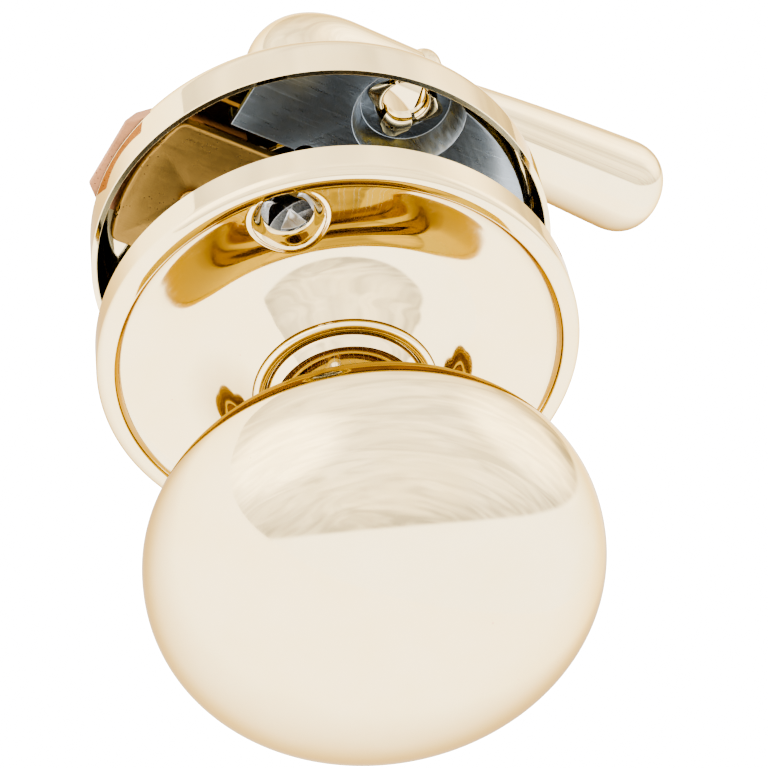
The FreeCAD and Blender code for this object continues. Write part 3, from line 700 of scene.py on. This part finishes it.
class LATCH_OT_boss(LatchStep, bpy.types.Operator):
    """Make the boss that carries the lever on the back of the case"""
    bl_idname = "latch.boss"
    bl_label = "Case boss"
    radius = 17.0
    round_radius = 4.2
    flange_radius = 18.8
    throat = 13.2
    spigot = 13.98
    lip = 14.8
    bore = 7.8

    def make(self):
        size = sizes()
        floor, sheet, top = size.case_depth, size.sheet, BOSS_HIGH.y
        inner = self.radius - sheet
        inner_round = self.round_radius - sheet
        flange_round = sheet - 0.1
        outline = [(self.throat, BOSS_LOW.y), (self.lip, BOSS_LOW.y), (self.lip, floor - sheet),
                   (self.spigot, floor - sheet), (self.spigot, floor), (self.flange_radius, floor)]
        outline += arc((self.flange_radius - flange_round, floor + 0.1), flange_round, 0, 90, 8)
        outline += arc((self.radius + 0.5, floor + sheet + 0.5), 0.5, 270, 180, 6)
        outline += straight(outline[-1], (self.radius, top - self.round_radius), 6)
        outline += arc((self.radius - self.round_radius, top - self.round_radius), self.round_radius, 0, 90, 24)[1:]
        outline += straight(outline[-1], (self.bore, top), 4)
        outline += [(self.bore, top - sheet)]
        outline += arc((inner - inner_round, top - sheet - inner_round), inner_round, 90, 0, 16)
        outline += [(inner, floor + sheet), (self.throat, floor + sheet)]
        boss = spun(outline, DENSE, closed=True)
        finished(boss, "boss_shell", "case", material_of("Polished brass"),
                 nodes=["case_boss"], edge=size.soft_edge)


class LATCH_OT_rose(LatchStep, bpy.types.Operator):
    """Make the dished rose, its rolled edge and the petals in its screw cups"""
    bl_idname = "latch.rose"
    bl_label = "Outer rose"
    door_face = -16.0
    turn = 45.0
    band = 4.0
    rim_round = 1.4
    dish = ((28.62, 4.6), (27.7, 3.4), (25.6, 2.9), (22.5, 2.6), (20.0, 2.75), (18.0, 3.4), (16.0, 4.75),
            (14.0, 6.7), (12.6, 8.25), (11.5, 9.46))
    roll_radius = 11.0
    roll_tube = 0.8
    roll_height = 9.8
    hole_radius = 3.2
    cup_radius = 4.5
    cup_depth = 1.35
    floor_height = 2.6
    petal_path = ((3.3, -16.7), (2.85, -16.1), (2.45, -15.6), (1.95, -15.25), (1.5, -15.0))

    def make(self):
        size = sizes()
        radius, corner = size.disc_radius, self.rim_round
        front = [(radius, 0.0)]
        front += straight(front[-1], (radius, self.band), 8)
        front += arc((radius - corner, self.band), corner, 0, 90, 16)[1:]
        front += arc((29.05, self.band + corner - 0.42), 0.42, 90, 180, 6)
        front += flowing(self.dish, 10)
        rose = spun([(across, self.door_face - height) for across, height in front], DENSE)
        face_outwards(rose, -AXIS_Y)
        fine = flowing(self.dish, 160)

        for z in (size.screw_ring, -size.screw_ring):
            centre = Vector((0, 0, z))

            def seat(vert):
                across = math.hypot(vert.co.x, vert.co.z)
                height = height_at(fine, across)
                flat = Vector((vert.co.x, 0, vert.co.z))
                vert.co.y = self.door_face - self.with_cup(height, (flat - centre).length)

            pierce(rose, (0, self.door_face - self.floor_height, z), AXIS_Y, self.hole_radius, self.cup_radius + 1.3,
                   seat=seat, cuts=3, depth=3.5)
        turned(rose, self.turn)
        finished(rose, "rose_dish", "rose", material_of("Polished brass"),
                 nodes=["outer_rose"], wall=size.sheet, edge=0.08)
        self.make_roll()
        self.make_petals()

    def with_cup(self, height, away):
        """Height of the sheet near a screw hole: a raised lip, then a countersink."""
        hole, cup = self.hole_radius, self.cup_radius
        if away > cup + 0.75:
            return height
        if away > cup:
            share = (away - cup) / 0.75
            return height + 0.28 * (1 - share) * (1 - share) * (1 + 2 * share)
        share = max(0.0, min(1.0, (cup - away) / (cup - hole)))
        eased = share * share * (3 - 2 * share) * 0.35 + share * 0.65
        return height * (1 - eased) + (self.floor_height - self.cup_depth) * eased + 0.28 * (1 - eased)

    def make_petals(self):
        """Torn petals that lean behind each screw cup, into the door's holes."""
        size = sizes()
        petals = bmesh.new()
        for z in (size.screw_ring, -size.screw_ring):
            for index in range(4):
                sweep_petal(petals, flowing(self.petal_path, 4), math.radians(30), (0, z), index * math.pi / 2,
                            taper=0.75)
        turned(petals, self.turn)
        finished(petals, "rose_petals", "rose", material_of("Plated steel"), wall=0.35, edge=0.07)

    def make_roll(self):
        """The edge rolled over round the knob's neck."""
        ring = arc((self.roll_radius, self.door_face - self.roll_height), self.roll_tube, 0, 360, 28)[:-1]
        roll = spun(ring, DENSE, closed=True)
        finished(roll, "rose_roll", "rose", material_of("Polished brass"))


class LATCH_OT_knob(LatchStep, bpy.types.Operator):
    """Make the knob's front shell and its back with the neck"""
    bl_idname = "latch.knob"
    bl_label = "Knob"
    centre = -55.6
    power = 2.15
    seam = 22.6
    neck = 10.1
    neck_end = -18.1
    flare = 4.0
    lap = 0.12
    waist_drop = 1.8
    cone_y = (-29.4, -26.3)

    def profile(self, shrink, front, start, end, steps):
        """The knob's form before or behind its widest ring."""
        size = sizes()
        depth = size.knob_front if front else size.knob_rear
        sign = -1 if front else 1
        points = superellipse(size.knob_radius - shrink, depth - shrink, self.power, start, end, steps)
        return [(across, self.centre + sign * along) for across, along in points]

    def angle_at(self, radius, shrink):
        share = radius / (sizes().knob_radius - shrink)
        return math.degrees(math.acos(share ** (self.power / 2)))

    def make(self):
        size = sizes()
        sheet = size.sheet
        seam_out = self.angle_at(self.seam, 0)
        seam_in = self.angle_at(self.seam, sheet)
        shell = self.profile(0, True, 90, 0, 84) + self.profile(0, False, 0, seam_out, 26)[1:]
        shell += self.profile(sheet, False, seam_in, 0, 10)
        shell += self.profile(sheet, True, 0, 90, 40)[1:]
        finished(spun(shell, DENSE), "knob_face", "knob", material_of("Polished brass"),
                 nodes=["knob_shell"], edge=0.06)

        join = self.centre + size.knob_rear * 0.86
        wide = self.seam - self.lap
        outer = self.profile(0, False, self.angle_at(wide, 0), 58.2, 22)
        outer = [point for point in outer if point[1] < join - 0.1]
        flare_centre = (self.neck + self.flare, join + self.flare)
        waist = self.neck - self.waist_drop
        outer += arc((waist + self.flare, flare_centre[1]), self.flare, 282, 180, 24)
        outer += straight(outer[-1], (waist, self.cone_y[0]), 10)
        outer += flowing([(waist, self.cone_y[0]), (waist + 0.12, self.cone_y[0] + 0.55),
                          (self.neck - 0.1, self.cone_y[1] - 0.25), (self.neck, self.cone_y[1] + 0.2)], 6)[1:]
        outer += straight(outer[-1], (self.neck, self.neck_end), 10)
        bore = self.neck - 0.9
        inner = [(bore, self.neck_end)]
        inner += straight(inner[-1], (bore, join + self.flare), 4)
        inner += arc(flare_centre, self.flare + 0.9, 180, 262, 10)[1:]
        inner += [point for point in self.profile(sheet, False, 56, self.angle_at(wide, sheet), 12)
                  if point[0] > inner[-1][0] + 0.1]
        finished(spun(outer + inner, DENSE, closed=True), "knob_rear", "knob",
                 material_of("Polished brass"), nodes=["knob_back"], edge=0.06)


class LATCH_OT_lever(LatchStep, bpy.types.Operator):
    """Make the lever's elbow, collar and grip"""
    bl_idname = "latch.lever"
    bl_label = "Lever"
    neck_start = 26.2
    base_radius = 8.6
    base_thick = 2.4
    base_round = 0.7
    bend = 9.0
    arm_y = 53.0
    collar_x = 20.5
    shank = 5.6
    shank_end = 47.0
    screw_y = 32.7
    screw_radius = 1.6
    spigot = 3.52
    collar = ((20.5, 8.0, 3.4), (23.9, 6.7, 1.3))
    grip_start = 25.2
    grip_start_radius = 5.2
    grip_swell_x = 62.0
    cap_power = 2.4

    def make(self):
        self.make_elbow()
        self.make_collar()
        self.make_grip()

    def make_elbow(self):
        arm = sizes().arm_radius
        start, base, soft = self.neck_start, self.base_radius, self.base_round
        outline = [(0.0, self.shank_end), (self.shank, self.shank_end), (self.shank, start)]
        outline += arc((base - soft, start + soft), soft, -90, 0, 8)
        outline += arc((base - soft, start + self.base_thick - soft), soft, 0, 90, 8)
        outline += arc((arm + 0.35, start + self.base_thick + 0.35), 0.35, -90, -180, 5)
        outline += straight(outline[-1], (arm, self.arm_y - self.bend), 40)
        elbow = spun(outline, ROUND)

        def seat(vert):
            across = math.hypot(vert.co.x, vert.co.z)
            vert.co.x *= arm / across
            vert.co.z *= arm / across

        pierce(elbow, (0, self.screw_y, -arm), AXIS_Z, self.screw_radius, self.screw_radius + 0.9, seat=seat,
               cuts=2, depth=1.2)
        top = max(vert.co.y for vert in elbow.verts if math.hypot(vert.co.x, vert.co.z) > arm - 0.01)
        rim = [edge for edge in elbow.edges if edge.is_boundary
               and all(abs(vert.co.y - top) < 1e-3 for vert in edge.verts)]
        verts = list({vert for edge in rim for vert in edge.verts})
        made = bmesh.ops.spin(elbow, geom=verts + rim, cent=(self.bend, top, 0), axis=AXIS_Z,
                              angle=-math.pi / 2, steps=28)
        last = [item for item in made["geom_last"] if isinstance(item, bmesh.types.BMEdge)]
        run = bmesh.ops.extrude_edge_only(elbow, edges=last)["geom"]
        ends = [item for item in run if isinstance(item, bmesh.types.BMVert)]
        bmesh.ops.translate(elbow, verts=ends, vec=(self.collar_x - self.bend, 0, 0))
        bmesh.ops.contextual_create(elbow, geom=[item for item in run if isinstance(item, bmesh.types.BMEdge)
                                                 and all(vert in ends for vert in item.verts)])
        bmesh.ops.remove_doubles(elbow, verts=elbow.verts, dist=1e-4)
        bmesh.ops.recalc_face_normals(elbow, faces=elbow.faces)
        finished(elbow, "lever_bend", "lever", material_of("Polished brass"),
                 nodes=["lever_elbow"], edge=0.06)

    def make_collar(self):
        collar = bmesh.new()
        for x, radius, thick in self.collar:
            half = thick / 2
            outline = [(self.spigot, x)] + arc((radius - half, x + half), half, -90, 90, 18) + [(self.spigot, x + thick)]
            ring = spun(outline, ROUND, axis=AXIS_X, closed=True)
            mesh = bpy.data.meshes.new("ring")
            ring.to_mesh(mesh)
            ring.free()
            collar.from_mesh(mesh)
            bpy.data.meshes.remove(mesh)
        bmesh.ops.translate(collar, verts=collar.verts, vec=(0, self.arm_y, 0))
        finished(collar, "lever_ring", "lever", material_of("Polished brass"),
                 nodes=["lever_collar"], edge=0.05)

    def make_grip(self):
        end, radius = GRIP_HIGH.x, GRIP_HIGH.z
        start_r = self.grip_start_radius
        body = []
        steps = 48
        for index in range(steps + 1):
            share = index / steps
            swell = 0.25 * 4 * share * (1 - share)
            body.append((start_r + (radius - start_r) * share + swell,
                         self.grip_start + (self.grip_swell_x - self.grip_start) * share))
        cap = superellipse(radius, end - self.grip_swell_x, self.cap_power, 0, 90, 40)[1:]
        outline = [(self.spigot, self.grip_start + 6), (self.spigot, self.grip_start)]
        outline += arc((start_r - 0.4, self.grip_start + 0.4), 0.4, -90, 0, 6)
        outline += body[1:] + [(across, self.grip_swell_x + along) for across, along in cap]
        outline += [(0.0, end - 3), (self.spigot, end - 3)]
        grip = spun(outline[:-2], ROUND, axis=AXIS_X)
        bmesh.ops.translate(grip, verts=grip.verts, vec=(0, self.arm_y, 0))
        rim = [edge for edge in grip.edges if edge.is_boundary]
        bmesh.ops.contextual_create(grip, geom=rim)
        bmesh.ops.recalc_face_normals(grip, faces=grip.faces)
        finished(grip, "lever_handle", "lever", material_of("Polished brass"),
                 nodes=["lever_grip"], edge=0.05)


class LATCH_OT_springs(LatchStep, bpy.types.Operator):
    """Coil the two bolt springs"""
    bl_idname = "latch.springs"
    bl_label = "Bolt springs"
    turns = 8
    wire = 0.25
    coil = 1.25
    places = ((6.05, 6.0), (6.05, -6.0))
    steps_per_turn = 28

    def make(self):
        low, high = box_mm("bolt_springs")
        start, end = low.x + self.wire, high.x - self.wire
        steps = self.turns * self.steps_per_turn
        springs = bmesh.new()
        for y, z in self.places:
            made = bmesh.ops.create_circle(springs, segments=12, radius=self.wire)
            verts = made["verts"]
            bmesh.ops.rotate(springs, verts=verts, matrix=Matrix.Rotation(math.pi / 2, 3, "X"))
            bmesh.ops.rotate(springs, verts=verts, matrix=Matrix.Rotation(math.pi / 2, 3, "Z"))
            bmesh.ops.rotate(springs, verts=verts, matrix=Matrix.Rotation(math.pi / 2, 3, "Y"))
            bmesh.ops.translate(springs, verts=verts, vec=(start, y + self.coil, z))
            edges = list({edge for vert in verts for edge in vert.link_edges})
            bmesh.ops.spin(springs, geom=verts + edges, cent=(start, y, z), axis=AXIS_X,
                           angle=FULL_TURN * self.turns, steps=steps, dvec=((end - start) / steps, 0, 0))
        bmesh.ops.holes_fill(springs, edges=[edge for edge in springs.edges if edge.is_boundary], sides=12)
        bmesh.ops.recalc_face_normals(springs, faces=springs.faces)
        piece = finished(springs, "spring_coils", "case", material_of("Spring steel"),
                         nodes=["bolt_springs"])
        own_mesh(piece)


class LATCH_OT_sheet_parts(LatchStep, bpy.types.Operator):
    """Soften the stamped plates, the slide and the bolt's nose"""
    bl_idname = "latch.sheet_parts"
    bl_label = "Plates and bolt"
    softened_nodes = (
        ("retaining_plate", "plate_sheet", "case", "galvanised", "Galvanised", 0.13),
        ("spring_bracket", "bracket_sheet", "case", "galvanised", "Galvanised", 0.08),
        ("latch_slide", "slide_sheet", "bolt", "raw_brass", "Raw brass", 0.12),
        ("bolt_nose", "nose_block", "bolt", "raw_brass", "Nose brass", 0.18),
        ("nose_rivet", "rivet_head", "bolt", "raw_brass", "Raw brass", 0.05),
        ("rose_backplate", "backplate_sheet", "rose", "galvanised", "Galvanised", 0.1),
        ("hub_cam", "cam_block", "lever", "steel", "Plated steel", 0.12),
        ("spindle", "spindle_bar", "knob", "steel", "Plated steel", 0.25),
    )

    def make(self):
        for node, name, body, slot, material, width in self.softened_nodes:
            finished(from_node(node), name, body, material_of(material), nodes=[node], edge=width)


class LATCH_OT_kept_parts(LatchStep, bpy.types.Operator):
    """Give the inner parts that keep their CAD shape their finishes"""
    bl_idname = "latch.kept_parts"
    bl_label = "Inner parts"
    kept = {
        "boss_bushing": "Sintered bronze",
        "bracket_rivets": "Plated steel",
        "spring_guides": "Plated steel",
        "lever_shank": "Plated steel",
        "shank_clip": "Spring steel",
        "thrust_washer": "Nylon",
        "lever_set_screw": "Plated steel",
        "rose_washer": "Nylon",
        "neck_clip": "Spring steel",
        "knob_core": "Plated steel",
        "spindle_pin": "Plated steel",
    }

    def make(self):
        for name, material in self.kept.items():
            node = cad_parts[name]
            if not node.material_slots:
                raise RuntimeError(f"{name} has no material slot")
            for place in node.material_slots:
                place.material = material_of(material)


class LATCH_OT_studio(LatchStep, bpy.types.Operator):
    """Set up the floor, the white tent, the lights and the camera"""
    bl_idname = "latch.studio"
    bl_label = "Studio"
    eye = (-113.43, -228.84, 150.11)
    looking = (0.42364, 0.73373, -0.53119)
    upright = (-0.30289, 0.66741, 0.68031)
    focal = 103.125
    sensor = 36.0
    floor_drop = 160.0
    shade_place = (150.0, 200.0)     # where painted shade darkens the floor behind the latch, seen only in reflections
    shade_reach = (60.0, 420.0)
    shade_colour = (0.42, 0.34, 0.22)
    behind_sheet = (-0.43, 0.474, 0.768)
    sheet_level = 1.0
    upper_drop = 0.30
    upper_tint = (1.0, 0.945, 0.86)
    fold_drop = 0.2
    lamps = (
        ((-0.908, 0.243, 0.342), 0.82, 0.97, 0.55),
        ((0.621, 0.485, 0.616), 0.86, 0.97, 0.45),
    )

    def make(self):
        self.make_floor()
        self.make_tent()
        self.make_camera()
        view = bpy.context.scene.view_settings
        view.view_transform = "AgX"
        view.look = "AgX - Medium High Contrast"

    def make_floor(self):
        bm = bmesh.new()
        bmesh.ops.create_grid(bm, x_segments=1, y_segments=1, size=2500)
        bmesh.ops.translate(bm, verts=bm.verts, vec=(0, 0, CAD_BOX[0].z / MM - self.floor_drop))
        bmesh.ops.scale(bm, vec=(MM, MM, MM), verts=bm.verts)
        mesh = bpy.data.meshes.new("floor")
        bm.to_mesh(mesh)
        bm.free()
        floor = bpy.data.objects.new("floor", mesh)
        bpy.context.scene.collection.objects.link(floor)
        material, tree, shader = new_material("White floor")
        shader.inputs["Roughness"].default_value = 0.9
        shader.inputs["Emission Color"].default_value = (1.0, 1.0, 1.0, 1.0)
        seen = put(tree, "ShaderNodeLightPath")
        place = put(tree, "ShaderNodeTexCoord")
        away = put(tree, "ShaderNodeVectorMath", operation="DISTANCE")
        link(tree, place.outputs["Object"], away.inputs[0])
        drop = CAD_BOX[0].z / MM - self.floor_drop
        away.inputs[1].default_value = (self.shade_place[0] * MM, self.shade_place[1] * MM, drop * MM)
        near, far = (value * MM for value in self.shade_reach)
        # Painted shade: a darker, warmer patch of floor with a weaker glow behind the latch, for every ray but the
        # camera's
        shade = ranged(tree, away.outputs["Value"], near, far, 1.0, 0.0)
        unseen = maths(tree, "SUBTRACT", 1.0, seen.outputs["Is Camera Ray"])
        shade = maths(tree, "MULTIPLY", shade, unseen)
        link(tree, blended(tree, shade, (0.9, 0.9, 0.9), self.shade_colour), shader.inputs["Base Color"])
        glow = maths(tree, "SUBTRACT", 1.1, shade)
        shown = maths(tree, "MULTIPLY", seen.outputs["Is Camera Ray"], 6.4)
        link(tree, maths(tree, "ADD", glow, shown), shader.inputs["Emission Strength"])
        mesh.materials.append(material)

    def make_tent(self):
        world = bpy.data.worlds.new("White tent")
        bpy.context.scene.world = world
        world.use_nodes = True
        tree = world.node_tree
        background = tree.nodes["Background"]
        place = put(tree, "ShaderNodeTexCoord")
        side = place.outputs["Generated"]
        behind = self.facing(tree, side, self.behind_sheet)
        upper = self.soft_step(tree, behind, -0.02, 0.03)
        fold = maths(tree, "MULTIPLY", upper, self.soft_step(tree, behind, 0.34, 0.03))
        hang = put(tree, "ShaderNodeMapping")
        hang.inputs["Rotation"].default_value = (0.5, 0.3, 0.9)
        hang.inputs["Scale"].default_value = (1.0, 6.0, 1.6)
        link(tree, side, hang.inputs["Vector"])
        cloth = put(tree, "ShaderNodeTexNoise", Scale=1.3, Detail=2.0, Roughness=0.5, Distortion=1.6)
        link(tree, hang.outputs[0], cloth.inputs["Vector"])
        level = maths(tree, "SUBTRACT", self.sheet_level, maths(tree, "MULTIPLY", upper, self.upper_drop))
        level = maths(tree, "SUBTRACT", level, maths(tree, "MULTIPLY", fold, self.fold_drop))
        creases = ranged(tree, cloth.outputs[0], 0.35, 0.65, -0.13, 0.16)
        level = maths(tree, "ADD", level, maths(tree, "MULTIPLY", creases, upper))
        link(tree, blended(tree, upper, (1.0, 1.0, 1.0), self.upper_tint), background.inputs["Color"])
        for direction, outer, inner, amount in self.lamps:
            glow = self.soft_step(tree, self.facing(tree, side, direction), outer, inner)
            level = maths(tree, "ADD", level, maths(tree, "MULTIPLY", glow, amount))
        link(tree, maths(tree, "MULTIPLY", level, finishes().light), background.inputs["Strength"])

    def facing(self, tree, side, direction):
        """How far a direction of the tent leans towards a fixed one."""
        made = put(tree, "ShaderNodeVectorMath", operation="DOT_PRODUCT")
        link(tree, side, made.inputs[0])
        made.inputs[1].default_value = tuple(Vector(direction).normalized())
        return made.outputs["Value"]

    def soft_step(self, tree, value, low, high):
        """0 below low, 1 above high and smooth between; with low above high it falls instead."""
        made = put(tree, "ShaderNodeMapRange", interpolation_type="SMOOTHSTEP")
        link(tree, value, made.inputs["Value"])
        made.inputs["From Min"].default_value = min(low, high)
        made.inputs["From Max"].default_value = max(low, high)
        made.inputs["To Min"].default_value = 0.0 if low < high else 1.0
        made.inputs["To Max"].default_value = 1.0 if low < high else 0.0
        return made.outputs[0]

    def make_camera(self):
        data = bpy.data.cameras.new("camera")
        data.lens = self.focal
        data.sensor_width = self.sensor
        data.clip_start = 0.01
        data.clip_end = 20.0
        camera = bpy.data.objects.new("camera", data)
        bpy.context.scene.collection.objects.link(camera)
        back = -Vector(self.looking).normalized()
        side = Vector(self.upright).cross(back).normalized()
        above = back.cross(side)
        turn = Matrix((side, above, back)).transposed().to_4x4()
        camera.matrix_world = Matrix.Translation(Vector(self.eye) * MM) @ turn
        bpy.context.scene.camera = camera


class LATCH_PT_panel(bpy.types.Panel):
    """Lists the steps of the making"""
    bl_label = "Knob latch"
    bl_idname = "LATCH_PT_panel"
    bl_space_type = "VIEW_3D"
    bl_region_type = "UI"
    bl_category = "Latch"

    def draw(self, context):
        for step in STEPS:
            self.layout.operator(step.bl_idname)
        for group in (context.scene.latch_sizes, context.scene.latch_finishes):
            for name in group.bl_rna.properties.keys():
                if name not in ("rna_type", "name"):
                    self.layout.prop(group, name)


STEPS = (
    LATCH_OT_finishes,
    LATCH_OT_case,
    LATCH_OT_boss,
    LATCH_OT_rose,
    LATCH_OT_knob,
    LATCH_OT_lever,
    LATCH_OT_springs,
    LATCH_OT_sheet_parts,
    LATCH_OT_kept_parts,
    LATCH_OT_studio,
)
CLASSES = (LatchSizes, LatchFinishes, *STEPS, LATCH_PT_panel)


def register():
    for item in CLASSES:
        bpy.utils.register_class(item)
    bpy.types.Scene.latch_sizes = bpy.props.PointerProperty(type=LatchSizes)
    bpy.types.Scene.latch_finishes = bpy.props.PointerProperty(type=LatchFinishes)


def unregister():
    del bpy.types.Scene.latch_finishes
    del bpy.types.Scene.latch_sizes
    for item in reversed(CLASSES):
        bpy.utils.unregister_class(item)


def main():
    register()
    for step in STEPS:
        family, name = step.bl_idname.split(".")
        getattr(getattr(bpy.ops, family), name)()


if __name__ == "__main__":
    main()
